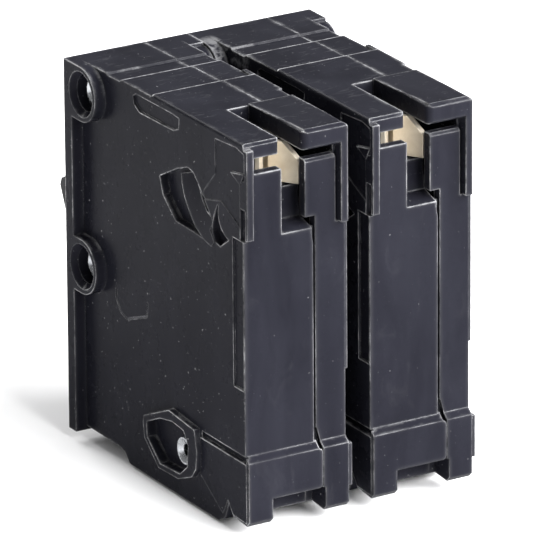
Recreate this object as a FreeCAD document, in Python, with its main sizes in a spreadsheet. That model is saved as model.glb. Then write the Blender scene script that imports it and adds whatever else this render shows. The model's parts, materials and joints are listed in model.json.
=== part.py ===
import FreeCAD, Part
import math
import os
import re

# Two-pole plug-in ground-fault circuit breaker, 25.4 mm per pole, standing on its load end.
# X runs across the poles, -Y is the handle side, +Y the panel side, +Z the line (jaw) end.
# Positions inside a pole are given from the pole's own cover-side face; pole a spans
# 0 to one pitch and pole b is one pitch towards -X.

DIMS = {
    # case, side view
    "pitch": 25.4,
    "part_x": 8.9,
    "base_side": 23.24,
    "cover_side": 2.94,
    "wall": 1.84,
    "flange_front": -60.0,
    "flange_back": -57.4,
    "flange_low": 1.8,
    "flange_top": 72.0,
    "nose_front": -64.6,
    "nose_wall": 2.0,
    "back_face": -1.2,
    "back_inner": -3.2,
    "roof": 70.1,
    "top": 72.9,
    "rail_low": 55.6,
    "rail_wide": 1.34,
    "band_top": 14.4,
    # jaw window
    "win_lo": 10.9,
    "win_hi": 15.63,
    "win_floor": 55.25,
    "side_win_floor": 67.2,
    "slot_lo": 11.9,
    "slot_hi": 16.1,
    "slot_front": -18.6,
    # foot that hooks on the panel rail
    "foot_in_base": 18.44,
    "foot_in_cover": 7.64,
    "bridge_low": 7.0,
    # rivets
    "rivet_r": 1.9,
    "rivet_hole": 1.96,
    "rivet_head_r": 2.5,
    "rivet_head": 0.9,
    "boss_seat": 21.9,
    "boss_bore": 3.3,
    "boss_r": 5.1,
    "post_r": 3.0,
    "low_boss_face": 24.35,
    "pocket_floor": 22.4,
    # handle
    "hand_y": -50.0,
    "hand_z": 50.6,
    "hand_lo": 8.4,
    "hand_hi": 17.0,
    "hand_drum": 12.2,
    "hand_reach": 28.4,
    "hand_tilt": 23.6,
    "slot_low": 38.9,
    "slot_high": 62.3,
    "trunnion_r": 2.2,
    "tie_s": 19.0,
    "tie_r": 1.4,
    # contact arm and cradle
    "arm_y": -36.0,
    "arm_z": 34.0,
    "arm_lo": 11.7,
    "arm_hi": 14.7,
    "pin_r": 1.2,
    "pin_hole": 1.25,
    "close_tilt": 17.0,
    "cradle_y": -28.5,
    "cradle_z": 36.0,
    "cradle_lo": 15.4,
    "cradle_hi": 17.0,
    # magnetic trip
    "arma_y": -12.0,
    "arma_z": 41.0,
    "bar_y": -15.5,
    "bar_z": 17.0,
    "bar_r": 1.6,
    # load lug
    "lug_lo": 9.0,
    "lug_hi": 18.0,
    "lug_x": 13.5,
    "lug_z": 10.2,
    "lug_front": -56.0,
    "lug_back": -41.5,
    "screw_r": 2.9,
    # ground-fault parts
    "coil_z": 24.5,
    "coil_x": 12.7,
    "core_y": -36.0,
    "core_thick": 6.0,
    "core_z": 11.0,
    "wire_r": 1.1,
    "button_lo": 9.2,
    "button_hi": 16.2,
    "button_low": 21.5,
    "button_top": 28.5,
}

RIVETS = ((-54.0, 66.9), (-54.5, 34.3), (-22.4, 9.4))

doc = FreeCAD.newDocument("Breaker")
sheet = doc.addObject("Spreadsheet::Sheet", "dims")
for row, (alias, value) in enumerate(DIMS.items(), start=1):
    sheet.set("A%d" % row, alias)
    sheet.set("B%d" % row, str(value))
    sheet.setAlias("B%d" % row, alias)
doc.recompute()

finished = []
D = DIMS


# ---------------------------------------------------------------- helpers
def bound(text):
    """An expression with every named dimension read from the sheet."""
    words = re.split(r"(\w+)", str(text))
    return "".join("dims." + word if word in DIMS else word for word in words)


def drive(obj, **values):
    for name, value in values.items():
        obj.setExpression(name.replace("__", "."), bound(value))
    return obj


def place(obj, x, y, z):
    return drive(obj, Placement__Base__x=x, Placement__Base__y=y, Placement__Base__z=z)


def box(at, x0, x1, y0, y1, z0, z1):
    """A block between six planes; `at` shifts it to its pole."""
    obj = doc.addObject("Part::Box", "block")
    drive(obj, Length="(%s) - (%s)" % (x1, x0), Width="(%s) - (%s)" % (y1, y0))
    drive(obj, Height="(%s) - (%s)" % (z1, z0))
    return place(obj, "%s + %s" % (x0, at), y0, z0)


def rod(at, x0, x1, y, z, r):
    """A round bar along X."""
    obj = doc.addObject("Part::Cylinder", "rod")
    obj.Placement = FreeCAD.Placement(FreeCAD.Vector(), FreeCAD.Rotation(FreeCAD.Vector(0, 1, 0), 90))
    drive(obj, Radius=r, Height="(%s) - (%s)" % (x1, x0))
    return place(obj, "%s + %s" % (x0, at), y, z)


def cone(at, x0, x1, y, z, r0, r1):
    """A taper along X from radius r0 to r1."""
    obj = doc.addObject("Part::Cone", "cone")
    obj.Placement = FreeCAD.Placement(FreeCAD.Vector(), FreeCAD.Rotation(FreeCAD.Vector(0, 1, 0), 90))
    drive(obj, Radius1=r0, Radius2=r1, Height="(%s) - (%s)" % (x1, x0))
    return place(obj, "%s + %s" % (x0, at), y, z)


def rod_z(at, x, y, z0, z1, r):
    """A round bar along Z."""
    obj = doc.addObject("Part::Cylinder", "rod")
    drive(obj, Radius=r, Height="(%s) - (%s)" % (z1, z0))
    return place(obj, "%s + %s" % (x, at), y, z0)


def rod_y(at, x, y0, y1, z, r):
    """A round bar along Y."""
    obj = doc.addObject("Part::Cylinder", "rod")
    obj.Placement = FreeCAD.Placement(FreeCAD.Vector(), FreeCAD.Rotation(FreeCAD.Vector(1, 0, 0), -90))
    drive(obj, Radius=r, Height="(%s) - (%s)" % (y1, y0))
    return place(obj, "%s + %s" % (x, at), y0, z)


def outline(points, rotation):
    """A closed sketch; an entry of four numbers is an arc through its first two to its last two."""
    sketch = doc.addObject("Sketcher::SketchObject", "outline")
    sketch.Placement = FreeCAD.Placement(FreeCAD.Vector(), rotation)
    ends = [FreeCAD.Vector(*point[-2:], 0) for point in points]
    for i, point in enumerate(points):
        start = ends[i - 1]
        if len(point) == 4:
            side = Part.ArcOfCircle(start, FreeCAD.Vector(*point[:2], 0), ends[i])
        else:
            side = Part.LineSegment(start, ends[i])
        sketch.addGeometry(side, False)
    return sketch


def extrude(sketch, direction, length):
    obj = doc.addObject("Part::Extrusion", "prism")
    obj.Base = sketch
    obj.DirMode = "Custom"
    obj.Dir = direction
    obj.Solid = True
    drive(obj, LengthFwd=length)
    return obj


def prism(at, x0, x1, points):
    """A side-view outline of (y, z) corners run along X."""
    sketch = outline(points, FreeCAD.Rotation(FreeCAD.Vector(1, 1, 1), 120))
    drive(sketch, Placement__Base__x="%s + %s" % (x0, at))
    return extrude(sketch, FreeCAD.Vector(1, 0, 0), "(%s) - (%s)" % (x1, x0))


def plan(at, z0, z1, points):
    """A plan-view outline of (x, y) corners run along Z."""
    sketch = outline(points, FreeCAD.Rotation())
    drive(sketch, Placement__Base__x=at, Placement__Base__z=z0)
    return extrude(sketch, FreeCAD.Vector(0, 0, 1), "(%s) - (%s)" % (z1, z0))


def section(at, y0, y1, points):
    """A rear-view outline of (x, z) corners run along Y."""
    sketch = outline(points, FreeCAD.Rotation(FreeCAD.Vector(1, 0, 0), 90))
    drive(sketch, Placement__Base__x=at, Placement__Base__y=y0)
    return extrude(sketch, FreeCAD.Vector(0, 1, 0), "(%s) - (%s)" % (y1, y0))


def strip(points, thick):
    """The closed outline of a bent strip whose middle line runs through the points."""
    left = []
    right = []
    count = len(points)
    for i, (a, b) in enumerate(points):
        before = points[max(i - 1, 0)]
        after = points[min(i + 1, count - 1)]
        turns = []
        for start, end in ((before, (a, b)), ((a, b), after)):
            length = math.dist(start, end)
            if length > 0:
                turns.append(((end[0] - start[0]) / length, (end[1] - start[1]) / length))
        along = (sum(t[0] for t in turns), sum(t[1] for t in turns))
        size = math.hypot(along[0], along[1])
        normal = (-along[1] / size, along[0] / size)
        first = turns[0]
        lean = abs(normal[0] * -first[1] + normal[1] * first[0])
        half = thick / 2.0 / lean
        left.append((a + normal[0] * half, b + normal[1] * half))
        right.append((a - normal[0] * half, b - normal[1] * half))
    return left + right[::-1]


def fuse(*shapes):
    obj = doc.addObject("Part::MultiFuse", "joined")
    obj.Shapes = list(shapes)
    return obj


def cut(base, *tools):
    obj = doc.addObject("Part::Cut", "cut")
    obj.Base = base
    obj.Tool = tools[0] if len(tools) == 1 else fuse(*tools)
    return obj


def span(edge, into, r):
    """Limits of a cutter that starts just outside an edge and reaches r into the solid."""
    if into > 0:
        return "%s - 0.2" % edge, "%s + %s" % (edge, r)
    return "%s - %s" % (edge, r), "%s + 0.2" % edge


def round_along_y(at, x, z, into_x, into_z, y0, y1, r):
    """Cutter that rounds an edge running along Y."""
    x0, x1 = span(x, into_x, r)
    z0, z1 = span(z, into_z, r)
    centre_x = "%s + %s" % (x, into_x * r)
    centre_z = "%s + %s" % (z, into_z * r)
    core = rod_y(at, centre_x, "%s - 1" % y0, "%s + 1" % y1, centre_z, r)
    return cut(box(at, x0, x1, y0, y1, z0, z1), core)


def round_along_z(at, x, y, into_x, into_y, z0, z1, r):
    """Cutter that rounds an edge running along Z."""
    x0, x1 = span(x, into_x, r)
    y0, y1 = span(y, into_y, r)
    centre_x = "%s + %s" % (x, into_x * r)
    centre_y = "%s + %s" % (y, into_y * r)
    core = rod_z(at, centre_x, centre_y, "%s - 1" % z0, "%s + 1" % z1, r)
    return cut(box(at, x0, x1, y0, y1, z0, z1), core)


def tube(at, points, r):
    """A round conductor through (x, y, z) points, with ball corners."""
    pieces = []
    for start, end in zip(points, points[1:]):
        a = FreeCAD.Vector(*start)
        b = FreeCAD.Vector(*end)
        leg = doc.addObject("Part::Cylinder", "leg")
        leg.Placement = FreeCAD.Placement(a, FreeCAD.Rotation(FreeCAD.Vector(0, 0, 1), b - a))
        drive(leg, Radius=r, Height=(b - a).Length, Placement__Base__x="%s + %s" % (start[0], at))
        pieces.append(leg)
    for corner in points[1:-1]:
        ball = doc.addObject("Part::Sphere", "elbow")
        drive(ball, Radius=r)
        place(ball, "%s + %s" % (corner[0], at), corner[1], corner[2])
        pieces.append(ball)
    return fuse(*pieces)


def coil(at, start, end, radius, wire, turns):
    """An open coil spring between two (x, y, z) points."""
    a = FreeCAD.Vector(*start)
    b = FreeCAD.Vector(*end)
    helix = doc.addObject("Part::Helix", "coil_path")
    helix.Radius = radius
    helix.Height = (b - a).Length
    helix.Pitch = (b - a).Length / turns
    helix.Style = 1
    ring = doc.addObject("Part::Circle", "coil_wire")
    ring.Radius = wire
    turn = FreeCAD.Rotation(FreeCAD.Vector(1, 0, 0), 90)
    ring.Placement = FreeCAD.Placement(FreeCAD.Vector(radius, 0, 0), turn)
    sweep = doc.addObject("Part::Sweep", "spring")
    sweep.Sections = [ring]
    sweep.Spine = (helix, [])
    sweep.Solid = True
    sweep.Frenet = True
    sweep.Placement = FreeCAD.Placement(a, FreeCAD.Rotation(FreeCAD.Vector(0, 0, 1), b - a))
    drive(sweep, Placement__Base__x="%s + %s" % (start[0], at))
    return sweep


def finish(label, obj):
    obj.Label = label
    finished.append(obj)
    return obj


def turned(point, pivot, degrees):
    """A (y, z) point swung about an X axis through the pivot."""
    angle = math.radians(degrees)
    dy = point[0] - pivot[0]
    dz = point[1] - pivot[1]
    y = pivot[0] + dy * math.cos(angle) - dz * math.sin(angle)
    z = pivot[1] + dy * math.sin(angle) + dz * math.cos(angle)
    return (y, z)


# ---------------------------------------------------------------- case
# Side view of the body behind the flange: flat load end with a step, the rail notch,
# the foot, the back, and the stepped line-end face.
BODY = [
    (-57.6, 2.6), (-45.5, 2.6), (-43.6, 2.2), (-41.6, 0.0), (-11.4, 0.0), (-8.6, 1.3),
    (-6.9, 4.9), (-5.6, 2.8), (-0.9, 2.4), (0.0, 3.3), (0.0, D["band_top"]),
    (D["back_face"], D["band_top"] + 1.0), (D["back_face"], 72.4), (-1.7, D["top"]),
    (-32.5, D["top"]), (-32.8, 72.55), (-43.3, 72.4), (-43.8, 72.0), (-48.2, 71.9), (-48.45, 72.2),
    (-57.6, D["flange_top"]),
]
HOLLOW = [
    (-57.2, 4.4), (-44.7, 4.4), (-40.8, 1.9), (-12.8, 1.9), (-11.9, 9.2), (-3.2, 9.2),
    (D["back_inner"], D["roof"]), (-57.2, 69.6),
]
LOW_BOSS = [
    (-34.9, 12.3), (-26.0, 16.2), (-17.1, 15.4), (-16.2, 11.4), (-16.6, 8.0), (-18.1, 6.1),
    (-22.8, 4.2), (-29.8, 4.0), (-34.7, 8.2), (-35.1, 11.0),
]
LOW_POCKET = [
    (-33.8, 11.4), (-29.0, 13.6), (-24.8, 14.4), (-20.8, 14.0), (-19.2, 11.6), (-19.6, 7.6),
    (-22.2, 5.4), (-29.2, 5.0), (-33.6, 8.6),
]
FOOT_PAD = [
    (-16.5, 13.0), (-16.5, 7.0), (-8.9, 2.2), (-7.0, 5.4), (-5.4, 3.2), (-0.6, 3.0),
    (-0.6, D["band_top"] - 0.3), (-16.5, D["band_top"] - 0.3),
]
HEX_POCKET = [
    (-30.0, 58.6), (-23.8, 61.8), (-20.3, 63.1), (-18.4, 62.8), (-16.9, 61.4), (-14.9, 59.3),
    (-13.4, 57.6), (-11.9, 55.8), (-12.3, 53.4), (-11.6, 51.4), (-18.3, 51.8), (-24.6, 51.9), (-28.9, 55.4),
]
POCKET_ARM = [
    (-24.0, 60.8), (-19.2, 62.5), (-18.2, 61.0), (-15.9, 58.5), (-14.0, 57.0), (-11.5, 56.1),
    (-12.4, 54.0), (-10.9, 52.2), (-11.9, 51.1), (-14.5, 51.6), (-17.5, 53.1), (-20.0, 55.4),
    (-21.9, 57.3), (-23.2, 59.2),
]
ARM_SLOPE = [(24.6, 50.5), (23.54, 50.5), (23.08, 57.0, 21.7, 63.6), (24.6, 63.6)]
CRESCENT = [
    (-9.4, 56.0, -9.4, 60.2), (-11.1, 57.4, -12.0, 53.9), (-11.0, 52.3), (-9.3, 51.9), (-7.8, 53.0),
    (-6.3, 54.0),
]
TOP_POCKET = [
    (-39.1, 70.7), (-38.0, 71.3), (-25.5, 71.4), (-23.1, 71.2), (-23.4, 69.2), (-25.2, 68.5),
    (-37.0, 68.3), (-38.8, 69.3),
]
REAR_RECESS = [
    (-10.7, 71.3), (-10.8, 64.8), (-14.7, 60.6), (-15.0, 58.9), (-9.0, 60.4), (-2.6, 57.6),
    (-2.6, 66.0), (-1.0, 66.4), (-1.0, 71.2), (-3.7, 71.8),
]
REAR_FACET = [(-5.5, 66.8), (-0.8, 67.7), (-2.3, 65.3)]
GATE_MARK = [(-45.7, 33.6), (-45.9, 30.7), (-44.4, 28.5), (-42.3, 27.9), (-35.1, 30.6), (-34.7, 33.3)]
BAND_END = [
    (9.2, 7.0), (8.9, 7.0), (8.45, 7.2), (8.25, 7.7), (8.25, 13.6), (8.45, 14.2), (9.0, 14.4), (9.2, 14.4),
]
SILL = [(-1.3, 55.2), (-1.3, 50.0), (-7.0, 50.0), (-7.0, 59.3), (-5.7, 59.3), (-5.3, 56.4)]
SILL_BACK = [(-5.7, 59.2), (-7.0, 59.2), (-7.0, 62.0), (-5.9, 62.0)]
BAND_NOTCH = [(8.1, 6.9), (9.1, 6.9), (9.1, 18.0), (8.75, 18.0), (8.1, 15.6)]


def wire_passages(at, x0, x1):
    """Holes between the poles for the trip bar and the far pole's load wire."""
    low = rod(at, x0, x1, -28.2, 4.2, "wire_r + 0.5")
    high = rod(at, x0, x1, -39.5, 12.4, "wire_r + 0.5")
    bar = rod(at, x0, x1, "bar_y", "bar_z", "bar_r + 0.08")
    return [low, high, bar]


def nose(at, x0, x1):
    """Raised front that passes through the panel cover, with its drum space."""
    outer = prism(at, x0, x1, [
        (D["flange_back"], 19.5), (D["nose_front"] + 0.8, 19.5), (D["nose_front"], 20.3),
        (D["nose_front"], 67.9), (D["nose_front"] + 0.8, 68.7), (D["flange_back"], 68.7),
    ])
    return outer


def build_base(tag, at, inner_side, with_button):
    """Deep case half: side wall, rim, front flange, back wall, foot and rivet bosses."""
    body = prism(at, "part_x", "base_side", BODY)
    flange = box(at, "part_x", "pitch", "flange_front", "flange_back", "flange_low", "flange_top")
    strips = [
        box(at, "part_x", "pitch - 0.3", "flange_front - 0.4", "flange_back", 51.0, 58.5),
        box(at, "part_x", "pitch - 0.3", "flange_front - 0.5", "flange_back", 11.0, 25.5),
    ]
    rail = box(at, "base_side - rail_wide", "base_side", "back_inner", 0, "rail_low", 72.0)
    pad = prism(at, "base_side - 0.2", "base_side + 0.2", FOOT_PAD)
    bosses = [rod(at, "base_side - 0.2", "pitch", y, z, "boss_r") for y, z in RIVETS[:2]]
    bosses += [
        box(at, "base_side - 0.2", "pitch", "flange_back - 0.2", -54.0, 61.8, "flange_top"),
        box(at, "base_side - 0.2", "pitch", "flange_back - 0.2", -54.5, 29.2, 39.4),
        prism(at, "base_side - 0.2", "low_boss_face", LOW_BOSS),
        section(at, -2.0, 0, BAND_END),
    ]
    front = nose(at, "part_x", 21.9)
    shell = fuse(body, flange, rail, pad, front, *strips, *bosses)

    hollow = prism(at, "part_x - 1", "base_side - wall", HOLLOW)
    drum = box(at, "part_x - 1", 18.6, "nose_front + nose_wall", -57.0, 37.6, 63.6)
    hand_slot = box(at, "part_x - 1", "hand_hi + 0.5", "nose_front - 1", -60.0, "slot_low", "slot_high")
    window = box(at, "part_x - 1", "win_hi", -6.0, 1.0, "win_floor", "roof + 0.5")
    gap_mouth = section(at, "back_face - 0.9", 1, [(8.8, 52.5), (9.35, 52.5), (9.95, 55.4), (8.8, 55.4)])
    side_window = box(at, "win_lo", "base_side - rail_wide - 0.8", -6.0, 1.0, "side_win_floor", "roof")
    mouth = box(at, "part_x - 1", "slot_hi", "slot_front", 1.0, "roof - 0.1", 75.0)
    bridge = box(at, "part_x - 1", "foot_in_base", -5.0, 1.0, -1.0, "bridge_low")
    gap = box(at, "part_x - 1", "part_x + 0.45", "back_face - 0.9", 1.0, 15.6, 57.3)
    cuts = [hollow, drum, hand_slot, window, gap_mouth, side_window, mouth, bridge, gap]
    cuts.append(prism(at, "base_side - 1.5", "base_side + 0.1", HEX_POCKET))
    cuts.append(prism(at, "base_side - 1.3", "base_side + 0.1", CRESCENT))
    cuts.append(prism(at, "base_side - 0.4", "base_side + 0.1", TOP_POCKET))
    cuts.append(prism(at, "base_side - 0.15", "base_side + 1", REAR_RECESS))
    cuts.append(box(at, "base_side - 0.6", "base_side + 0.1", -2.4, -0.7, 55.1, 61.0))
    cuts.append(box(at, "base_side - 0.35", "base_side + 0.1", -5.0, -1.6, 27.5, 55.0))
    cuts.append(box(at, "base_side - 0.5", "base_side + 0.3", -16.1, -0.9,
                    "band_top - 0.3", "band_top + 0.9"))
    cuts.append(prism(at, "base_side - 0.12", "base_side + 0.1", strip(GATE_MARK, 0.25)))
    cuts.append(prism(at, "pocket_floor", "pitch + 1", LOW_POCKET))
    for y, z in RIVETS[:2]:
        cuts.append(rod(at, "boss_seat", "pitch + 1", y, z, "boss_bore"))
        cuts.append(cone(at, "pitch - 1.2", "pitch + 0.1", y, z, "boss_bore", "boss_bore + 0.98"))
    cuts.append(round_along_y(at, "base_side", "top", -1, -1, -32.6, 1, 0.6))
    cuts.append(round_along_y(at, "foot_in_base", 0, 1, 1, -9, 1, 0.6))
    cuts.append(round_along_y(at, "base_side", 0, -1, 1, -44, 1, 0.8))
    cuts.append(round_along_z(at, "slot_hi", "back_face", 1, -1, "roof", 74, 0.7))
    cuts.append(rod_y(at, "lug_x", "flange_front - 1", "flange_back + 1", "lug_z", 4.0))
    cuts.append(box(at, "lug_x - 3.3", "lug_x + 3.3", -51.6, -45.8, 0.0, 5.0))
    if with_button:
        cuts.append(box(at, "button_lo - 0.2", "button_hi + 0.2", "nose_front - 1", "flange_back + 1",
                        "button_low - 0.2", "button_top + 0.2"))
        cuts.append(rod_z(at, 17.0, -37.4, -1, 3, 2.6))
    opened = cut(shell, *cuts)

    inner = [
        box(at, "base_side - wall - 1.5", "base_side - 1.6", -31.2, -5.4, 50.0, 64.5),
        cut(prism(at, "base_side - 1.6", "base_side + 0.3", POCKET_ARM), section(at, -26, -9, ARM_SLOPE)),
        prism(at, "base_side - 0.3", "base_side + 0.1", REAR_FACET),
        prism(at, 9.5, 17.0, SILL),
        prism(at, 9.5, 13.2, SILL_BACK),
        rod(at, 17.6, "base_side - wall + 0.2", "hand_y", "hand_z", 3.7),
        rod(at, 15.5, "base_side - wall + 0.2", "arm_y", "arm_z", 3.0),
        rod(at, 17.3, "base_side - wall + 0.2", "cradle_y", "cradle_z", 2.6),
        box(at, 17.05, "base_side - wall + 0.2", -8.6, -6.2, 24.0, 36.0),
    ]
    for y, z in RIVETS:
        inner.append(rod(at, "part_x", "base_side - wall + 0.2", y, z, "post_r"))
    ribbed = fuse(opened, *inner)
    bores = [rod(at, "part_x - 1", "pitch + 1", y, z, "rivet_hole") for y, z in RIVETS]
    bores.append(rod(at, 17.0, 21.0, "hand_y", "hand_z", "trunnion_r + 0.06"))
    bores.append(rod(at, 15.0, 20.6, "arm_y", "arm_z", "pin_hole"))
    bores.append(rod(at, 17.0, 20.6, "cradle_y", "cradle_z", "pin_hole"))
    if inner_side:
        bores.extend(wire_passages(at, 18.0, "pitch + 1"))
    finish("case_base_" + tag, cut(ribbed, *bores))


def build_cover(tag, at, inner_side):
    """Shallow case half with the line-end lip, its side of the foot and the flange."""
    body = prism(at, "cover_side", "part_x", BODY)
    flange = box(at, 0, "part_x", "flange_front", "flange_back", "flange_low", "flange_top")
    strips = [
        box(at, 0.3, "part_x", "flange_front - 0.4", "flange_back", 51.0, 58.5),
        box(at, 0.3, "part_x", "flange_front - 0.5", "flange_back", 11.0, 25.5),
    ]
    corner = box(at, 0, "cover_side + 0.2", "flange_back - 0.2", -54.3, 40.0, "flange_top")
    edge = box(at, "cover_side - 0.5", "cover_side + 0.2", -5.0, -1.3, 27.8, "rail_low + 0.4")
    pad = box(at, "cover_side - 0.6", "cover_side + 0.2", -35.5, -23.2, 40.0, 72.9)
    rail = box(at, "cover_side", "cover_side + rail_wide", "back_inner", 0, "rail_low", 72.4)
    lip = prism(at, "cover_side", "slot_lo", [
        (D["slot_front"] + 0.1, D["roof"]), (-0.4, D["roof"]), (0.0, D["roof"] + 0.4),
        (0.0, 73.2), (-0.7, 73.8), (D["slot_front"] + 0.1, 73.3),
    ])
    block = box(at, "part_x - 0.5", "win_lo", "back_inner", "back_face", 57.4, 67.9)
    band = box(at, "cover_side - 0.8", "cover_side + 0.2", -19.6, -0.3, 6.2, "band_top - 0.3")
    bosses = []
    for y, z in RIVETS:
        bosses.append(rod(at, 0, "cover_side + 0.2", y, z, 4.5))
    front = nose(at, 3.5, "part_x")
    shell = fuse(body, flange, corner, edge, pad, rail, lip, band, block, front, *strips, *bosses)

    hollow = prism(at, "cover_side + 1.76", "part_x + 1", HOLLOW)
    drum = box(at, 7.0, "part_x + 1", "nose_front + nose_wall", -57.0, 37.6, 63.6)
    hand_slot = box(at, "hand_lo - 0.5", "part_x + 1", "nose_front - 1", -60.0, "slot_low", "slot_high")
    bridge = box(at, "foot_in_cover", "part_x + 1", -5.0, 1.0, -1.0, "bridge_low")
    groove = box(at, "cover_side + rail_wide", "cover_side + rail_wide + 0.5", "back_inner + 0.9", 1.0,
                 "rail_low", "roof - 0.3")
    over_block = box(at, "cover_side + rail_wide + 0.4", "part_x + 1", "back_inner - 1", 1.0, 67.9, "roof")
    band_notch = section(at, -2.2, 1, BAND_NOTCH)
    rounding = [
        round_along_y(at, "cover_side", "73.75", 1, -1, "slot_front + 0.2", 1, 0.9),
        round_along_y(at, "slot_lo", "73.6", -1, -1, "slot_front + 0.2", 1, 0.4),
        round_along_z(at, "slot_lo", 0, -1, -1, "roof - 0.1", 75, 1.2),
        round_along_y(at, "foot_in_cover", 0, -1, 1, -9, 1, 0.8),
        round_along_y(at, "cover_side", 0, 1, 1, -44, 1, 0.8),
    ]
    corner_line = [(-1.75, 68.0), (-1.0, 68.0), (-1.0, 67.25)]
    bevel = prism(at, "cover_side + rail_wide + 0.4", "win_lo + 0.1", corner_line)
    openings = [hollow, drum, hand_slot, bridge, groove, over_block, band_notch, bevel]
    opened = cut(shell, *openings, *rounding)

    inner = [
        rod(at, "cover_side + 1.6", 7.7, "hand_y", "hand_z", 3.7),
        rod(at, "cover_side + 1.6", 10.9, "arm_y", "arm_z", 3.0),
        rod(at, "cover_side + 1.6", 14.7, "cradle_y", "cradle_z", 2.6),
    ]
    for y, z in RIVETS:
        inner.append(rod(at, "cover_side + 1.6", "part_x", y, z, "post_r"))
    if inner_side:
        for y in (-43.0, -20.5):
            inner.append(rod(at, "cover_side + 1.6", 6.0, y, 28.0, 1.4))
    ribbed = fuse(opened, *inner)
    bores = [rod(at, -1, "part_x + 1", y, z, "rivet_hole") for y, z in RIVETS]
    bores.append(rod(at, 5.3, 8.0, "hand_y", "hand_z", "trunnion_r + 0.06"))
    bores.append(rod(at, 5.4, 11.0, "arm_y", "arm_z", "pin_hole"))
    bores.append(rod(at, 5.4, 15.0, "cradle_y", "cradle_z", "pin_hole"))
    if inner_side:
        bores.extend(wire_passages(at, -1, "part_x"))
    finish("case_cover_" + tag, cut(ribbed, *bores))


# ---------------------------------------------------------------- current path
def build_jaw(tag, at):
    """Spring jaw that grips the panel stab, its strap, and the fixed contact."""
    right = plan(at, 60.0, 69.7, strip([(12.6, -18.2), (13.1, -11.0), (13.1, -9.4), (9.85, -4.9)], 0.8))
    left = plan(at, 60.0, 69.7, strip([(15.4, -18.2), (14.9, -11.0), (14.9, -9.4), (18.0, -5.4)], 0.8))
    web = box(at, 12.2, 15.8, -19.0, -18.0, 60.0, 69.7)
    face = turned((-33.25, 60.0), (D["arm_y"], D["arm_z"]), -D["close_tilt"])
    lean = math.radians(D["close_tilt"])
    out = (math.cos(lean), -math.sin(lean))
    up = (math.sin(lean), math.cos(lean))
    middle = (face[0] + out[0] * 1.95, face[1] + out[1] * 1.95)
    low = (middle[0] - up[0] * 3.2, middle[1] - up[1] * 3.2)
    high = (middle[0] + up[0] * 3.4, middle[1] + up[1] * 3.4)
    strap = prism(at, 11.6, 15.6, strip([low, high, (-18.6, high[1])], 1.5))
    trims = [
        plan(at, 59.9, 62.3, [(8.6, -8.2), (12.6, -8.2), (12.6, -3.0), (8.6, -3.0)]),
        prism(at, 8.6, 12.8, [(-4.0, 65.6), (-7.8, 70.5), (-4.0, 70.5)]),
        prism(at, 15.2, 19.5, [(-4.0, 67.4), (-6.6, 70.5), (-4.0, 70.5)]),
    ]
    finish("line_jaw_" + tag, cut(fuse(right, left, web, strap), *trims))
    inner = (face[0] + out[0] * 0.15, face[1] + out[1] * 0.15)
    corners = []
    for depth, rise in ((0, -1.9), (1.05, -1.9), (1.05, 1.9), (0, 1.9)):
        corners.append((inner[0] + out[0] * depth + up[0] * rise, inner[1] + out[1] * depth + up[1] * rise))
    finish("fixed_contact_" + tag, prism(at, 11.4, 15.0, corners))


def build_arm(tag, at):
    """Moving contact arm on its pin, with the contact pad and the side peg for the spring."""
    blade = prism(at, "arm_lo", "arm_hi", [
        (-37.4, 32.0), (-34.6, 32.0), (-34.4, 40.0), (-34.4, 61.4), (-35.0, 61.9), (-36.8, 61.9),
        (-37.3, 56.0), (-37.6, 44.0),
    ])
    hub = rod(at, "arm_lo", "arm_hi", "arm_y", "arm_z", 2.7)
    peg = rod(at, "arm_hi - 0.5", 19.8, -36.0, 50.0, 0.9)
    hole = rod(at, "arm_lo - 1", "arm_hi + 1", "arm_y", "arm_z", "pin_hole + 0.03")
    finish("contact_arm_" + tag, cut(fuse(blade, hub, peg), hole))
    finish("moving_contact_" + tag, box(at, 11.4, 15.0, -34.4, -33.25, 58.2, 61.6))
    finish("arm_pin_" + tag, rod(at, 6.0, 20.2, "arm_y", "arm_z", "pin_r"))


def build_cradle(tag, at):
    """Latched trip cradle on its pin, its side peg and the toggle spring to the arm."""
    plate = prism(at, "cradle_lo", "cradle_hi", [
        (-30.8, 35.0), (-28.5, 33.4), (-20.0, 32.9), (-14.3, 33.2), (-14.3, 35.4), (-17.0, 38.4),
        (-20.0, 38.4), (-24.0, 37.2), (-28.5, 38.6), (-30.8, 37.4),
    ])
    hub = rod(at, "cradle_lo", "cradle_hi", "cradle_y", "cradle_z", 2.7)
    peg = rod(at, "cradle_hi - 0.5", 19.8, -18.5, 37.0, 0.9)
    hole = rod(at, "cradle_lo - 1", "cradle_hi + 1", "cradle_y", "cradle_z", "pin_hole + 0.03")
    finish("cradle_" + tag, cut(fuse(plate, hub, peg), hole))
    finish("cradle_pin_" + tag, rod(at, 6.0, 20.2, "cradle_y", "cradle_z", "pin_r"))
    finish("toggle_spring_" + tag, coil(at, (18.95, -35.0, 49.3), (18.95, -19.5, 37.7), 1.45, 0.3, 9))


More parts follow.
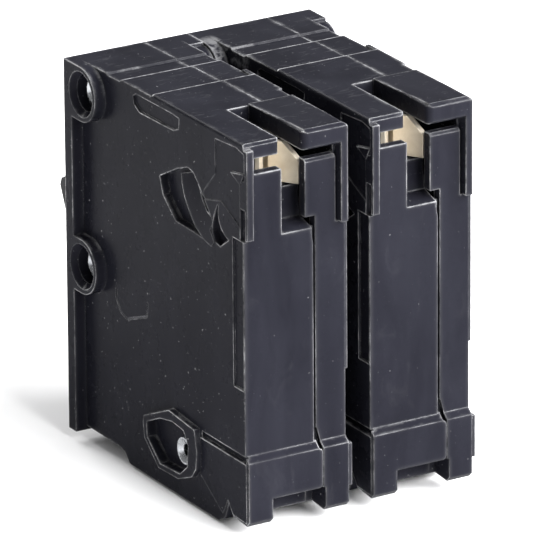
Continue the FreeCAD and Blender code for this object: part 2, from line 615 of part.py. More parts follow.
def build_trip_unit(tag, at):
    """Bimetal strip, magnet yoke around it, hinged armature and calibration screw."""
    strip_metal = box(at, 10.6, 15.4, -9.0, -8.0, 13.0, 46.2)
    finish("bimetal_" + tag, strip_metal)
    yoke = fuse(
        box(at, 9.4, 17.05, -7.4, -6.2, 22.0, 43.2),
        box(at, 9.4, 10.2, -10.4, -7.3, 24.0, 36.0),
        box(at, 16.2, 17.05, -10.4, -7.3, 24.0, 36.0),
        box(at, 9.4, 10.0, -13.2, -7.3, 38.4, 43.2),
        box(at, 16.2, 17.05, -13.2, -7.3, 38.4, 43.2),
        box(at, 10.6, 15.4, -8.0, -6.2, 13.0, 22.5),
    )
    pivot = rod(at, 9.0, 17.6, "arma_y", "arma_z", 0.98)
    screw_hole = rod_y(at, 13.0, -8.5, -6.0, 17.4, 1.55)
    finish("magnet_yoke_" + tag, cut(yoke, pivot, screw_hole))
    armature = fuse(
        box(at, 10.4, 15.8, -12.4, -11.6, 22.0, 42.2),
        rod(at, 9.5, 16.95, "arma_y", "arma_z", 0.9),
        box(at, 15.0, 17.4, -13.9, -11.6, 31.0, 32.3),
    )
    finish("armature_" + tag, armature)
    screw = fuse(
        rod_y(at, 13.0, -7.95, -4.6, 17.4, 1.5),
        rod_y(at, 13.0, -5.4, -4.2, 17.4, 2.3),
    )
    drive_slot = box(at, 10.5, 15.5, -4.7, -4.0, 17.1, 17.7)
    finish("calibration_screw_" + tag, cut(screw, drive_slot))
    path = [(13.2, -34.38, 42.5), (13.2, -32.6, 42.5), (13.2, -30.6, 44.2), (13.2, -26.5, 47.6),
            (13.2, -20.0, 49.4), (13.2, -13.0, 48.4), (13.2, -10.1, 45.0)]
    finish("braid_" + tag, tube(at, path, 1.1))


def build_arc_chute(tag, at):
    """Fibre frame over the contacts with four steel splitter plates."""
    frame = fuse(
        box(at, 9.4, 10.0, -36.2, -25.0, 62.9, 69.7),
        box(at, 19.0, 19.6, -36.2, -25.0, 62.9, 69.7),
        box(at, 9.4, 19.6, -36.2, -25.0, 69.1, 69.7),
    )
    finish("arc_frame_" + tag, frame)
    plates = [box(at, 10.0, 19.0, y, y + 0.8, 63.2, 69.1) for y in (-35.2, -32.3, -29.4, -26.5)]
    finish("arc_plates_" + tag, fuse(*plates))


def build_lug(tag, at):
    """Load lug with its wire chamber, pressure plate and clamping screw."""
    block = box(at, "lug_lo", "lug_hi", "lug_front", "lug_back", 5.2, 15.2)
    chamber = box(at, "lug_x - 3.3", "lug_x + 3.3", -52.5, -43.4, 5.0, 15.4)
    bore = rod_y(at, "lug_x", "lug_front - 1", -52.0, "lug_z", "screw_r + 0.08")
    finish("load_lug_" + tag, cut(block, chamber, bore))
    finish("wire_clamp_" + tag, box(at, "lug_x - 2.9", "lug_x + 2.9", -52.2, -51.1, 6.4, 14.0))
    screw = rod_y(at, "lug_x", -58.6, -52.25, "lug_z", "screw_r")
    tip = rod_y(at, "lug_x", -57.0, -52.22, "lug_z", 1.6)
    drive_slot = box(at, "lug_x - 3.2", "lug_x + 3.2", -58.8, -57.2, "lug_z - 0.5", "lug_z + 0.5")
    finish("terminal_screw_" + tag, cut(fuse(screw, tip), drive_slot))


def build_handle(tag, at):
    """Operating handle: drum, lever with grip grooves, trunnions and the tie hole."""
    drum = rod(0, "-(hand_hi - hand_lo) / 2", "(hand_hi - hand_lo) / 2", 0, 0, "hand_drum")
    back = box(0, -6, 6, 4.5, 14, -14, 14)
    lever = prism(0, "-(hand_hi - hand_lo) / 2", "(hand_hi - hand_lo) / 2", [
        (-2.0, -5.0), (-14.0, -4.4), (-27.6, -3.5), (-28.4, -2.7), (-28.4, 2.4), (-27.3, 3.5),
        (-14.0, 4.4), (-2.0, 5.0),
    ])
    trunnion = rod(0, -7.1, 8.1, 0, 0, "trunnion_r")
    solid = fuse(cut(drum, back), lever, trunnion)
    cuts = [rod(0, -6, 6, "-tie_s", 0, "tie_r + 0.02")]
    for side in (-1, 1):
        for step in range(3):
            y = -26.6 + 2.0 * step
            z = side * (3.75 + 0.07 * step)
            cuts.append(rod(0, -6, 6, y, z, 0.45))
    handle = cut(solid, *cuts)
    tilt = FreeCAD.Rotation(FreeCAD.Vector(1, 0, 0), D["hand_tilt"])
    handle.Placement = FreeCAD.Placement(FreeCAD.Vector(), tilt)
    place(handle, "(hand_lo + hand_hi) / 2 + %s" % at, "hand_y", "hand_z")
    finish("handle_" + tag, handle)


# ---------------------------------------------------------------- shared parts
def build_rivets():
    """Three tubular rivets that clamp both poles together, flared open in their bosses."""
    pieces = []
    for (y, z), seat in zip(RIVETS, ("boss_seat", "boss_seat", "pocket_floor")):
        shank = rod(0, "-pitch + 0.9", "%s + 0.3" % seat, y, z, "rivet_r")
        head = rod(0, seat, "%s + rivet_head" % seat, y, z, "rivet_head_r")
        roll = rod(0, "-pitch - 0.9", "-pitch", y, z, "rivet_head_r - 0.1")
        tail = rod(0, "-pitch - 0.2", "-pitch + 1.2", y, z, "rivet_r")
        flare = cone(0, "%s + 0.3" % seat, "%s + rivet_head + 0.1" % seat, y, z, 1.2, "rivet_head_r - 0.1")
        bore = rod(0, "%s - 3" % seat, "%s + 1" % seat, y, z, 1.2)
        pieces.append(cut(fuse(shank, head, roll, tail), flare, bore))
    finish("rivets", fuse(*pieces))


def build_tie():
    """Steel pin with collars that joins the two handles."""
    y, z = turned((D["hand_y"] - D["tie_s"], D["hand_z"]), (D["hand_y"], D["hand_z"]), D["hand_tilt"])
    pin = rod(0, -17.9, 17.9, y, z, "tie_r")
    collars = [rod(0, x, x + 0.9, y, z, 2.2) for x in (-18.0, 17.1)]
    sleeve = rod(0, -8.3, 8.3, y, z, 2.2)
    finish("handle_tie", fuse(pin, sleeve, *collars))


def build_trip_bar():
    """Common trip bar through both poles with a finger for each armature."""
    bar = rod(0, -17.5, 17.5, "bar_y", "bar_z", "bar_r")
    fingers = []
    for at in ("0", "-pitch"):
        fingers.append(box(at, 11.6, 14.4, -16.3, -14.7, "bar_z", 27.0))
        fingers.append(box(at, 11.6, 14.4, -15.0, -13.0, 24.2, 26.8))
    finish("trip_bar", fuse(bar, *fingers))


def build_ground_fault():
    """Current transformer, load wires, board, solenoid, test button and lead outlet."""
    core_end = "core_y + core_thick"
    core = rod_y("0", "coil_x", "core_y + 0.9", "core_y + core_thick - 0.9", "core_z", 5.6)
    core_bore = rod_y("0", "coil_x", "core_y - 1", "core_y + core_thick + 1", "core_z", 4.4)
    finish("sensor_core", cut(core, core_bore))
    wound = rod_y("0", "coil_x", "core_y", core_end, "core_z", 6.4)
    bore = rod_y("0", "coil_x", "core_y - 1", core_end + " + 1", "core_z", 3.6)
    inside = rod_y("0", "coil_x", "core_y + 0.9", "core_y + core_thick - 0.9", "core_z", 5.6)
    middle = rod_y("0", "coil_x", "core_y + 0.5", "core_y + core_thick - 0.5", "core_z", 4.4)
    finish("sensor_winding", cut(wound, bore, cut(inside, middle)))

    near = [(11.2, -10.2, 12.0), (11.2, -13.6, 12.0), (11.2, -14.4, 4.2), (11.2, -25.2, 4.2),
            (11.2, -28.4, 9.6), (11.2, -41.4, 9.6)]
    finish("load_wire_a", tube("0", near, "wire_r"))
    far = [(-12.7, -10.2, 12.0), (-12.7, -13.6, 12.0), (-12.7, -14.4, 4.2), (-12.7, -28.2, 4.2),
           (14.2, -28.2, 4.2), (14.2, -28.2, 12.4), (14.2, -39.5, 12.4), (-12.7, -39.5, 12.4),
           (-12.7, -41.4, 12.4)]
    finish("load_wire_b", tube("0", far, "wire_r"))

    board = box("0", 6.0, 7.2, -46.0, -18.0, 19.4, 30.4)
    finish("circuit_board", board)
    parts = fuse(
        box("0", 7.2, 8.8, -45.0, -40.0, 21.0, 25.0),
        box("0", 7.2, 9.4, -44.6, -41.6, 26.2, 29.4),
        box("0", 7.2, 9.0, -22.4, -19.4, 20.8, 24.6),
        rod("0", 7.2, 10.2, -20.9, 27.6, 1.5),
    )
    finish("board_parts", parts)

    frame = fuse(
        box("0", 7.9, 18.7, -38.6, -37.4, 19.7, 29.3),
        box("0", 7.9, 18.7, -25.6, -24.4, 19.7, 29.3),
        box("0", 17.7, 18.7, -38.6, -24.4, 19.7, 29.3),
    )
    finish("solenoid_frame", cut(frame, rod_y("0", "coil_x", -26.0, -24.0, "coil_z", 1.8)))
    winding = rod_y("0", "coil_x", -37.4, -25.6, "coil_z", 4.7)
    finish("solenoid_coil", cut(winding, rod_y("0", "coil_x", -36.8, -25.0, "coil_z", 1.8)))
    plunger = fuse(
        rod_y("0", "coil_x", -34.0, -18.6, "coil_z", 1.7),
        rod_y("0", "coil_x", -20.6, -19.6, "coil_z", 2.9),
    )
    finish("plunger", plunger)
    finish("plunger_spring", coil("0", (12.7, -24.0, 24.5), (12.7, -21.0, 24.5), 2.3, 0.35, 3))

    def pressed_block(grow, y0, y1):
        return box("0", "button_lo - %s" % grow, "button_hi + %s" % grow, y0, y1,
                   "button_low - %s" % grow, "button_top + %s" % grow)

    cap = pressed_block(0, "nose_front - 1.9", -57.3)
    collar = pressed_block(0.9, -57.0, -55.9)
    stem = rod_y("0", "coil_x", -57.3, -53.6, 25.0, 1.5)
    bridge = pressed_block(-0.5, -57.4, -56.5)
    dish = rod_y("0", "coil_x", "nose_front - 2.2", "nose_front - 1.6", 25.0, 2.2)
    finish("test_button", cut(fuse(cap, bridge, collar, stem), dish))
    leaf = prism("0", 9.6, 13.8, strip([(-53.2, 29.6), (-53.2, 19.6), (-47.6, 19.0), (-46.4, 19.0)], 0.45))
    foot = box("0", 7.3, 13.8, -47.6, -46.2, 18.8, 19.3)
    finish("test_contact", fuse(leaf, foot))

    ring = rod_z("0", 17.0, -37.4, 0.3, 3.2, 2.55)
    lip = rod_z("0", 17.0, -37.4, 2.0, 3.2, 3.3)
    finish("lead_outlet", cut(fuse(ring, lip), rod_z("0", 17.0, -37.4, -1, 5, 1.5)))


for pole, shift in (("a", "0"), ("b", "-pitch")):
    build_base(pole, shift, inner_side=(pole == "b"), with_button=(pole == "a"))
    build_cover(pole, shift, inner_side=(pole == "a"))
    build_jaw(pole, shift)
    build_arm(pole, shift)
    build_cradle(pole, shift)
    build_trip_unit(pole, shift)
    build_arc_chute(pole, shift)
    build_lug(pole, shift)
    build_handle(pole, shift)

build_rivets()
build_tie()
build_trip_bar()
build_ground_fault()

doc.recompute()
for item in doc.Objects:
    if "Invalid" in item.State or "Error" in item.State:
        raise RuntimeError("bad object " + item.Label)

os.makedirs("parts", exist_ok=True)
for part in finished:
    if part.Shape.isNull() or not part.Shape.isValid():
        raise RuntimeError("bad shape " + part.Label)
    part.Shape.exportStep("parts/%s.step" % part.Label)
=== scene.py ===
import json
import math

import bpy
from mathutils import Matrix, Vector

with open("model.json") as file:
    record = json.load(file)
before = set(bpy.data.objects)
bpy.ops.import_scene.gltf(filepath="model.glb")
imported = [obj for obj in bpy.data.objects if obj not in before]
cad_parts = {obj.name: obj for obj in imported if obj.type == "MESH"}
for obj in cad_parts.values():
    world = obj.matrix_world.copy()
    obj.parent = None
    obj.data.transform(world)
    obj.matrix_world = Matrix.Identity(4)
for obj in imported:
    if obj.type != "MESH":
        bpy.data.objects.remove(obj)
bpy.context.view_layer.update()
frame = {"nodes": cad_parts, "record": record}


# ---------------------------------------------------------------- node helpers
class Nodes:
    """Builds one procedural material."""

    def __init__(self, name):
        self.mat = bpy.data.materials.new(name)
        self.mat.use_nodes = True
        self.tree = self.mat.node_tree
        self.tree.nodes.clear()
        self.shader = self.tree.nodes.new("ShaderNodeBsdfPrincipled")
        output = self.tree.nodes.new("ShaderNodeOutputMaterial")
        self.tree.links.new(self.shader.outputs[0], output.inputs[0])
        self.coord = self.tree.nodes.new("ShaderNodeTexCoord").outputs["Object"]

    def node(self, kind, **values):
        made = self.tree.nodes.new(kind)
        for key, value in values.items():
            setattr(made, key, value)
        return made

    def feed(self, socket, value):
        if isinstance(value, bpy.types.NodeSocket):
            self.tree.links.new(value, socket)
        else:
            socket.default_value = value

    def noise(self, scale, detail=4.0, rough=0.55, distortion=0.0, stretch=None):
        vector = self.coord
        if stretch:
            mapping = self.node("ShaderNodeMapping")
            self.feed(mapping.inputs["Vector"], self.coord)
            mapping.inputs["Scale"].default_value = stretch
            vector = mapping.outputs[0]
        tex = self.node("ShaderNodeTexNoise")
        self.feed(tex.inputs["Vector"], vector)
        tex.inputs["Scale"].default_value = scale
        tex.inputs["Detail"].default_value = detail
        tex.inputs["Roughness"].default_value = rough
        tex.inputs["Distortion"].default_value = distortion
        return tex.outputs["Fac"]

    def ramp(self, fac, stops):
        """Colour or grey along fac, from (position, value) stops."""
        ramp = self.node("ShaderNodeValToRGB")
        elements = ramp.color_ramp.elements
        while len(elements) < len(stops):
            elements.new(0.5)
        for element, (position, value) in zip(elements, stops):
            element.position = position
            colour = value if isinstance(value, tuple) else (value, value, value)
            element.color = (*colour, 1.0)
        self.feed(ramp.inputs[0], fac)
        return ramp.outputs[0]

    def rise(self, value, low, high):
        """0 at the first limit, 1 at the second, straight between; a fall if low is above high."""
        made = self.node("ShaderNodeMapRange")
        self.feed(made.inputs["Value"], value)
        made.inputs["From Min"].default_value = low
        made.inputs["From Max"].default_value = high
        return made.outputs["Result"]

    def window(self, value, low, high, soft):
        """1 between the two limits, 0 outside them, blurred by soft to each side of a limit."""
        start = self.rise(value, low - soft, low + soft)
        end = self.rise(value, high + soft, high - soft)
        return self.product(start, end)

    def split(self, vector):
        made = self.node("ShaderNodeSeparateXYZ")
        self.feed(made.inputs[0], vector)
        return made.outputs

    def product(self, first, *rest):
        for factor in rest:
            first = self.maths("MULTIPLY", first, factor)
        return first

    def maths(self, operation, a, b=0.0, clamp=False):
        made = self.node("ShaderNodeMath", operation=operation, use_clamp=clamp)
        self.feed(made.inputs[0], a)
        self.feed(made.inputs[1], b)
        return made.outputs[0]

    def mix(self, fac, a, b):
        made = self.node("ShaderNodeMix", data_type="RGBA")
        self.feed(made.inputs[0], fac)
        for socket, value in ((made.inputs[6], a), (made.inputs[7], b)):
            self.feed(socket, (*value, 1.0) if isinstance(value, tuple) else value)
        return made.outputs[2]

    def corner(self, radius):
        """How far a small rounding turns the normal (0 off the corners), and the turned normal."""
        bevel = self.node("ShaderNodeBevel", samples=6)
        bevel.inputs["Radius"].default_value = radius
        plain = self.node("ShaderNodeNewGeometry").outputs["True Normal"]
        dot = self.node("ShaderNodeVectorMath", operation="DOT_PRODUCT")
        self.feed(dot.inputs[0], bevel.outputs[0])
        self.feed(dot.inputs[1], plain)
        return self.maths("SUBTRACT", 1.0, dot.outputs["Value"]), bevel.outputs[0]

    def edges(self, radius, low, high):
        """1 along the corners, 0 away from them, and the rounded normal."""
        away, rounded = self.corner(radius)
        return self.ramp(away, [(low, 0.0), (high, 1.0)]), rounded

    def exposed(self, reach, low, high):
        """1 on outer corners and open faces, 0 in inner corners and deep in recesses."""
        shade = self.node("ShaderNodeAmbientOcclusion", samples=8, only_local=True)
        shade.inputs["Distance"].default_value = reach
        return self.ramp(shade.outputs["AO"], [(low, 0.0), (high, 1.0)])

    def bump(self, height, strength, distance, normal=None):
        made = self.node("ShaderNodeBump")
        made.inputs["Strength"].default_value = strength
        made.inputs["Distance"].default_value = distance
        self.feed(made.inputs["Height"], height)
        if normal is not None:
            self.feed(made.inputs["Normal"], normal)
        return made.outputs[0]

    def surface(self, colour, rough, normal=None, **constants):
        self.feed(self.shader.inputs["Base Color"], colour)
        self.feed(self.shader.inputs["Roughness"], rough)
        if normal is not None:
            self.feed(self.shader.inputs["Normal"], normal)
        for name, value in constants.items():
            self.shader.inputs[name.replace("_", " ")].default_value = value
        return self.mat


# Places of single marks on the case, in metres along the frame's axes. They were read from the
# CAD and don't follow it if it changes.
GAP_EDGE_X = (-0.0030, 0.0002)
GAP_EDGE_Y = (-0.0560, -0.0425)
GAP_EDGE_FROM_Z = (0.0692, 0.0702)
TOP_FROM_Z = (0.070, 0.071)
HANDLED_Y = (-0.016, 0.002)
HANDLED_Z = (0.057, 0.075)
LADDER_Y = (-0.0491, -0.0475)
RECESS_Y = (-0.0155, -0.0022)
RECESS_Z = (0.0572, 0.0664)
PAD_Y = (-0.0163, -0.0072)
PAD_Z = (0.0015, 0.0127)
SHOULDERS_Y = ((-0.04335, -0.04300), (-0.03255, -0.03220))
MOULD_MARK_Y = (-0.0470, -0.0340)
MOULD_MARK_Z = (0.0272, 0.0343)
ARM_FROM_Z = (0.0505, 0.0530)

# Limits on a face's normal, in world axes, for the ways it can point.
NEAR_SIDE = (0.90, 0.95)
EITHER_SIDE = (0.2, 0.8)
FLAT_TOP = (0.4, 0.6)
ARM_SIDE = (0.90, 0.93)
ARM_LEANS = (0.008, 0.02)
ARM_LEANS_AT_MOST = (0.34, 0.30)

# Colours of the case, from the bare moulding to the palest wear; the side-face copies of the speck
# and wear colours are paler as painted light.
CASE_DARK = (0.0060, 0.0061, 0.0088)
CASE_LIGHT = (0.0112, 0.0114, 0.0156)
# Painted highlight: a soft pale band along the outer corners.
SOFT_EDGE_HIGHLIGHT = (0.030, 0.030, 0.033)
SCUFFED = (0.056, 0.056, 0.06)
MOULD_MARK = (0.09, 0.09, 0.10)
CHIPPED = (0.11, 0.11, 0.115)
PATCHY_EDGE = (0.14, 0.14, 0.145)
SPECK = (0.16, 0.16, 0.165)
# Painted light: a paler copy of the speck colour, for side faces.
SPECK_AND_PAINTED_LIGHT_ON_SIDE = (0.40, 0.40, 0.41)
WORN = (0.28, 0.28, 0.29)
# Painted light: a paler copy of the wear colour, for side faces.
WORN_AND_PAINTED_LIGHT_ON_SIDE = (0.75, 0.75, 0.76)

# Specular levels far below real plastic (0.5), tuned to this scene's lights.
CASE_SPECULAR = 0.015
HANDLE_SPECULAR = 0.06


def case_ground(n, upward, outer):
    """Flow marks of the moulding, scuffs, a painted soft highlight on the outer corners, and pale
    edges that turn patchy on top.
    """
    flow = n.noise(95.0, 5.0, 0.6, 0.4, stretch=(1.0, 0.6, 0.3))
    colour = n.ramp(flow, [(0.30, CASE_DARK), (0.72, CASE_LIGHT)])
    grain = n.noise(240.0, 4.0, 0.65, 1.0, stretch=(1.0, 3.5, 0.5))
    scuff = n.ramp(grain, [(0.58, 0.0), (0.80, 1.0)])
    amount = n.maths("ADD", n.maths("MULTIPLY", upward, 0.34), 0.10)
    colour = n.mix(n.maths("MULTIPLY", scuff, amount), colour, SCUFFED)

    wide = n.edges(0.0016, 0.03, 0.22)[0]
    # Painted highlight: a soft pale band along the outer corners.
    colour = n.mix(n.product(wide, outer, 0.55), colour, SOFT_EDGE_HIGHLIGHT)
    patch = n.ramp(n.noise(130.0, 5.0, 0.7, 0.8), [(0.50, 0.0), (0.60, 1.0)])
    return n.mix(n.product(wide, patch, upward, 0.8), colour, PATCHY_EDGE)


def case_scar(n, across, along, height):
    """The chipped edge of the gap between the poles."""
    chips = n.ramp(n.noise(210.0, 5.0, 0.7, 0.5), [(0.46, 0.0), (0.54, 1.0)])
    return n.product(n.window(across, *GAP_EDGE_X, 0.0004), n.window(along, *GAP_EDGE_Y, 0.001),
                     n.rise(height, *GAP_EDGE_FROM_Z), chips, 0.8)


def case_rub(n, away, upward, painted_light_on_sides, outer, face, along, height):
    """Broken pale wear lines along the corners, with fainter and stronger places, made stronger on
    side faces as painted light.
    """
    near = n.maths("MULTIPLY", away, n.maths("ADD", n.maths("MULTIPLY", upward, 1.2), 1.0))
    line = n.ramp(near, [(0.065, 0.0), (0.25, 1.0)])
    fine = n.ramp(n.noise(600.0, 4.0, 0.65), [(0.34, 0.25), (0.58, 1.0)])
    broad = n.ramp(n.noise(75.0, 3.0, 0.5), [(0.40, 0.22), (0.60, 1.0)])
    handled = n.product(n.window(along, *HANDLED_Y, 0.003), n.window(height, *HANDLED_Z, 0.003))
    lift = n.maths("ADD", n.product(upward, 0.60), n.maths("ADD", n.product(handled, 0.5), 0.55))
    # Painted light: the wear lines are made stronger on side faces.
    lift = n.maths("ADD", lift, n.product(painted_light_on_sides, 0.35))
    rub = n.maths("MULTIPLY", n.product(line, outer, fine, broad), lift, clamp=True)

    near_side = n.rise(face["X"], *NEAR_SIDE)
    faint = n.product(n.window(along, *LADDER_Y, 0.0001), n.rise(height, *TOP_FROM_Z))
    for place_y, place_z in ((RECESS_Y, RECESS_Z), (PAD_Y, PAD_Z)):
        inside = n.product(n.window(along, *place_y, 0.0003), n.window(height, *place_z, 0.0003),
                           near_side)
        faint = n.maths("MAXIMUM", faint, inside)
    spared = n.maths("SUBTRACT", 1.0, n.product(faint, 0.75))

    shoulders = n.maths("MAXIMUM", *(n.window(along, *y, 0.00005) for y in SHOULDERS_Y))
    shoulders = n.product(shoulders, n.rise(face["Z"], *FLAT_TOP), n.rise(height, *TOP_FROM_Z),
                          fine, 0.75)
    return n.maths("MAXIMUM", n.product(rub, spared), shoulders)


def case_mould_mark(n, face, along, height):
    """The lines of the shallow C-shaped mark, found by their inner corners."""
    dented = n.maths("SUBTRACT", 1.0, n.exposed(0.0004, 0.80, 0.97))
    return n.product(n.window(along, *MOULD_MARK_Y, 0.0002),
                     n.window(height, *MOULD_MARK_Z, 0.0002),
                     n.rise(face["X"], *NEAR_SIDE), dented, 0.8)


def case_roughness(n, upward, face, height):
    """Mottled, and smoother on top and on the leaning arm of the side pocket."""
    rough = n.ramp(n.noise(150.0, 5.0, 0.65), [(0.25, 0.22), (0.75, 0.34)])
    arm = n.product(n.rise(face["X"], *ARM_SIDE), n.rise(face["Z"], *ARM_LEANS),
                    n.rise(face["Z"], *ARM_LEANS_AT_MOST), n.rise(height, *ARM_FROM_Z))
    for smoother in (upward, arm):
        rough = n.product(rough, n.maths("SUBTRACT", 1.0, n.product(smoother, 0.5)))
    return rough


def moulded_black():
    """Black thermoset case: bluish dark grey, flow marks, a painted soft highlight on the outer
    corners, pale rubbed corners and specks, with the wear and specks painted paler on side faces as
    painted light.
    """
    n = Nodes("moulded_black")
    away, rounded = n.corner(0.0005)
    upward = n.ramp(n.split(rounded)["Z"], [(0.05, 0.0), (0.75, 1.0)])
    outer = n.exposed(0.0012, 0.55, 0.82)
    face = n.split(n.node("ShaderNodeNewGeometry").outputs["True Normal"])
    # Mask of the side faces, used to paint wear and specks paler there as painted light.
    painted_light_on_sides = n.rise(n.maths("ABSOLUTE", face["X"]), *EITHER_SIDE)
    place = n.split(n.coord)
    across, along, height = place["X"], place["Y"], place["Z"]

    colour = case_ground(n, upward, outer)
    colour = n.mix(case_scar(n, across, along, height), colour, CHIPPED)
    rub = case_rub(n, away, upward, painted_light_on_sides, outer, face, along, height)
    # Wear lines, with their colour painted paler on side faces as painted light.
    colour = n.mix(rub, colour, n.mix(painted_light_on_sides, WORN, WORN_AND_PAINTED_LIGHT_ON_SIDE))
    specks = n.ramp(n.noise(1700.0, 2.0, 0.5), [(0.722, 0.0), (0.762, 1.0)])
    # Specks, painted paler on side faces as painted light.
    colour = n.mix(n.product(specks, 0.5), colour, n.mix(painted_light_on_sides, SPECK, SPECK_AND_PAINTED_LIGHT_ON_SIDE))
    colour = n.mix(case_mould_mark(n, face, along, height), colour, MOULD_MARK)

    rough = case_roughness(n, upward, face, height)
    normal = n.bump(n.noise(2600.0, 3.0, 0.6), 0.14, 0.00006, rounded)
    return n.surface(colour, rough, normal, Specular_IOR_Level=CASE_SPECULAR)


def smooth_black():
    """Handle and trip-bar plastic: finer, with a softer rubbed edge."""
    n = Nodes("smooth_black")
    edge, rounded = n.edges(0.0003, 0.04, 0.35)
    body = n.ramp(n.noise(160.0, 4.0), [(0.3, (0.008, 0.008, 0.010)),
                                        (0.7, (0.014, 0.014, 0.016))])
    colour = n.mix(n.maths("MULTIPLY", edge, 0.6), body, (0.14, 0.14, 0.14))
    rough = n.ramp(n.noise(300.0, 4.0), [(0.3, 0.30), (0.7, 0.44)])
    normal = n.bump(n.noise(3000.0, 2.0), 0.1, 0.00004, rounded)
    return n.surface(colour, rough, normal, Specular_IOR_Level=HANDLE_SPECULAR)


def metal(name, dark, light, low, high, wear, stretch=(1.0, 1.0, 1.0), radius=0.00015,
          metallic=1.0):
    """Sheet or bar metal with rolling marks, tarnish and brighter corners."""
    n = Nodes(name)
    edge, rounded = n.edges(radius, 0.04, 0.35)
    tarnish = n.noise(240.0, 5.0, 0.6, 0.6)
    base = n.ramp(tarnish, [(0.3, dark), (0.7, light)])
    colour = n.mix(n.maths("MULTIPLY", edge, 0.7), base, wear)
    lines = n.noise(900.0, 3.0, 0.7, 0.0, stretch=stretch)
    rough = n.ramp(lines, [(0.3, low), (0.7, high)])
    normal = n.bump(lines, 0.12, 0.00005, rounded)
    return n.surface(colour, rough, normal, Metallic=metallic)


def insulation(name, dark, light, low, high, grain=1500.0):
    """Non-metal with mottled colour: fibre, ferrite, board, rubber, button."""
    n = Nodes(name)
    edge, rounded = n.edges(0.0002, 0.05, 0.4)
    base = n.ramp(n.noise(220.0, 5.0, 0.6, 0.3), [(0.3, dark), (0.7, light)])
    pale = tuple(min(1.0, 1.6 * c + 0.03) for c in light)
    colour = n.mix(n.maths("MULTIPLY", edge, 0.5), base, pale)
    rough = n.ramp(n.noise(400.0, 4.0), [(0.3, low), (0.7, high)])
    normal = n.bump(n.noise(grain, 3.0), 0.15, 0.00005, rounded)
    return n.surface(colour, rough, normal)


def winding():
    """Enamelled wire laid turn by turn."""
    n = Nodes("winding")
    wave = n.node("ShaderNodeTexWave", wave_type="BANDS", bands_direction="Y")
    n.feed(wave.inputs["Vector"], n.coord)
    wave.inputs["Scale"].default_value = 1100.0
    wave.inputs["Distortion"].default_value = 0.6
    turns = wave.outputs["Fac"]
    colour = n.ramp(turns, [(0.0, (0.12, 0.035, 0.012)), (0.7, (0.42, 0.15, 0.045))])
    rough = n.ramp(n.noise(300.0), [(0.3, 0.28), (0.7, 0.42)])
    return n.surface(colour, rough, n.bump(turns, 0.6, 0.00015))


def braid():
    """Bare copper braid: two crossing sets of fine strands."""
    n = Nodes("braid")
    strands = []
    for turn in (0.7, -0.7):
        mapping = n.node("ShaderNodeMapping")
        n.feed(mapping.inputs["Vector"], n.coord)
        mapping.inputs["Rotation"].default_value = (turn, 0.0, 0.0)
        wave = n.node("ShaderNodeTexWave", wave_type="BANDS", bands_direction="Z")
        n.feed(wave.inputs["Vector"], mapping.outputs[0])
        wave.inputs["Scale"].default_value = 900.0
        strands.append(wave.outputs["Fac"])
    weave = n.maths("MAXIMUM", strands[0], strands[1])
    colour = n.ramp(weave, [(0.35, (0.20, 0.07, 0.03)), (0.9, (0.72, 0.33, 0.17))])
    rough = n.ramp(n.noise(500.0), [(0.3, 0.32), (0.7, 0.5)])
    return n.surface(colour, rough, n.bump(weave, 0.8, 0.0002), Metallic=1.0)


STEEL_DARK = (0.34, 0.35, 0.36)
STEEL_LIGHT = (0.52, 0.53, 0.54)
FINISHES = {
    "black_case": moulded_black(),
    "handle_plastic": smooth_black(),
    "tinned_copper": metal("tinned_copper", (0.52, 0.45, 0.35), (0.64, 0.58, 0.48), 0.34, 0.50,
                           (0.76, 0.72, 0.65), (0.3, 1.0, 3.0), metallic=0.55),
    "silver": metal("silver", (0.62, 0.62, 0.60), (0.80, 0.80, 0.78), 0.25, 0.4,
                    (0.9, 0.9, 0.88)),
    "steel": metal("steel", STEEL_DARK, STEEL_LIGHT, 0.26, 0.42,
                   (0.75, 0.75, 0.75), (1.0, 0.3, 3.0)),
    "rivet_steel": metal("rivet_steel", (0.12, 0.12, 0.13), (0.55, 0.57, 0.59), 0.16, 0.34,
                         (0.50, 0.50, 0.50)),
    "bimetal": metal("bimetal", (0.40, 0.31, 0.18), (0.58, 0.47, 0.30), 0.3, 0.46,
                     (0.75, 0.66, 0.5)),
    "braid_copper": braid(),
    "lug_metal": metal("lug_metal", (0.55, 0.56, 0.57), (0.72, 0.73, 0.74), 0.3, 0.48,
                       (0.85, 0.85, 0.85)),
    "fibre": insulation("fibre", (0.16, 0.06, 0.03), (0.28, 0.12, 0.06), 0.6, 0.75),
    "ferrite": insulation("ferrite", (0.02, 0.02, 0.022), (0.045, 0.045, 0.05), 0.5, 0.65),
    "winding": winding(),
    "wire_cover": insulation("wire_cover", (0.012, 0.012, 0.012), (0.03, 0.03, 0.03), 0.35, 0.5),
    "board": insulation("board", (0.008, 0.055, 0.02), (0.015, 0.09, 0.035), 0.25, 0.4, 700.0),
    "components": insulation("components", (0.012, 0.012, 0.013), (0.03, 0.03, 0.032),
                             0.4, 0.55),
    "button_plastic": insulation("button_plastic", (0.36, 0.33, 0.27), (0.42, 0.39, 0.33),
                                 0.28, 0.4),
    "rubber": insulation("rubber", (0.010, 0.010, 0.010), (0.022, 0.022, 0.022), 0.6, 0.8),
    "spring_steel": metal("spring_steel", (0.30, 0.31, 0.33), (0.50, 0.51, 0.53), 0.22, 0.36,
                          (0.7, 0.7, 0.7), (3.0, 1.0, 1.0), 0.0001),
}

slot_of = {entry["node"]: entry["material_slot"] for entry in frame["record"]["subparts"]}
for name, obj in frame["nodes"].items():
    obj.data.materials.clear()
    obj.data.materials.append(FINISHES[slot_of[name]])


# ---------------------------------------------------------------- floor, light, camera
FLOOR_HALF = 3.0
FLOOR_DROP = 0.0002     # the floor lies this far under the feet, so the two don't coincide


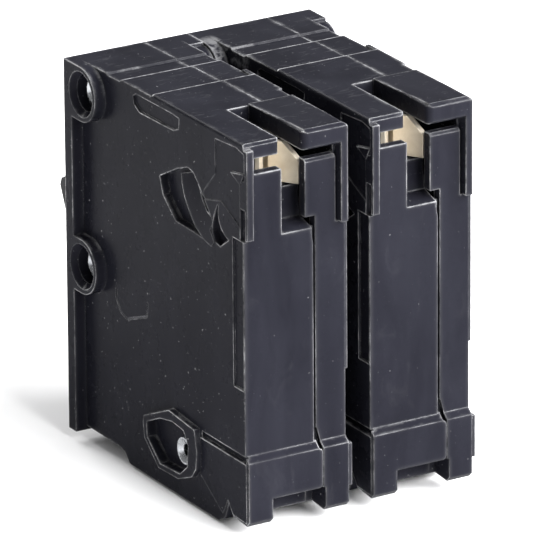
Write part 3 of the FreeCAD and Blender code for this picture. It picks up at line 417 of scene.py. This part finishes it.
def floor():
    mesh = bpy.data.meshes.new("floor")
    corners = [(x * FLOOR_HALF, y * FLOOR_HALF, 0) for x, y in ((-1, -1), (1, -1), (1, 1), (-1, 1))]
    mesh.from_pydata(corners, [], [(0, 1, 2, 3)])
    obj = bpy.data.objects.new("floor", mesh)
    bpy.context.collection.objects.link(obj)
    n = Nodes("paper")
    tone = n.ramp(n.noise(30.0, 3.0), [(0.3, (0.90, 0.90, 0.905)), (0.7, (0.92, 0.92, 0.925))])
    mesh.materials.append(n.surface(tone, 0.85))
    obj.location.z = -FLOOR_DROP


def soft_light(name, size, power, spot):
    """Rectangular light of so many watts at a spot, aimed at the middle of the breaker."""
    data = bpy.data.lights.new(name, "AREA")
    data.shape = "RECTANGLE"
    data.size, data.size_y = size
    data.energy = power
    obj = bpy.data.objects.new(name, data)
    obj.location = spot
    obj.rotation_euler = (Vector(CENTRE) - Vector(spot)).to_track_quat("-Z", "Y").to_euler()
    bpy.context.collection.objects.link(obj)


CENTRE = (0.0, -0.03, 0.036)
WORLD_STRENGTH = 0.42

floor()
world = bpy.data.worlds.new("studio")
world.use_nodes = True
sky = world.node_tree.nodes["Background"].inputs
sky["Color"].default_value = (1.0, 1.0, 1.0, 1.0)
sky["Strength"].default_value = WORLD_STRENGTH
bpy.context.scene.world = world
soft_light("top", (0.9, 0.9), 0.4, (0.0, 0.05, 1.0))
soft_light("rear", (1.9, 0.9), 124.0, (-0.62, 0.90, 0.80))
soft_light("side", (0.2, 0.8), 0.5, (0.95, 0.25, 0.5))
soft_light("front", (0.6, 0.5), 12.0, (0.10, -1.20, 0.75))

# The camera that was fitted to the photograph: angles in degrees, lengths in metres.
AZIMUTH = 149.40
ELEVATION = 20.47
ROLL = -0.42
DISTANCE = 1.5494
AIM = Vector((0.00127, -0.03049, 0.0354))
SENSOR_MM = 36.0
LENS_MM = 588.1
SHIFT = (0.0014, 0.0150)

azimuth = math.radians(AZIMUTH)
elevation = math.radians(ELEVATION)
back = Vector((math.sin(azimuth) * math.cos(elevation), -math.cos(azimuth) * math.cos(elevation),
               math.sin(elevation)))
right = Vector((0, 0, 1)).cross(back).normalized()
up = back.cross(right)
look = Matrix((right, up, back)).transposed().to_4x4()
roll = Matrix.Rotation(math.radians(ROLL), 4, "Z")
camera = bpy.data.objects.new("camera", bpy.data.cameras.new("camera"))
bpy.context.collection.objects.link(camera)
camera.matrix_world = Matrix.Translation(AIM + back * DISTANCE) @ look @ roll
camera.data.sensor_width = SENSOR_MM
camera.data.lens = LENS_MM
camera.data.shift_x, camera.data.shift_y = SHIFT
camera.data.clip_end = 10.0
bpy.context.scene.camera = camera
bpy.context.scene.view_settings.view_transform = "Standard"
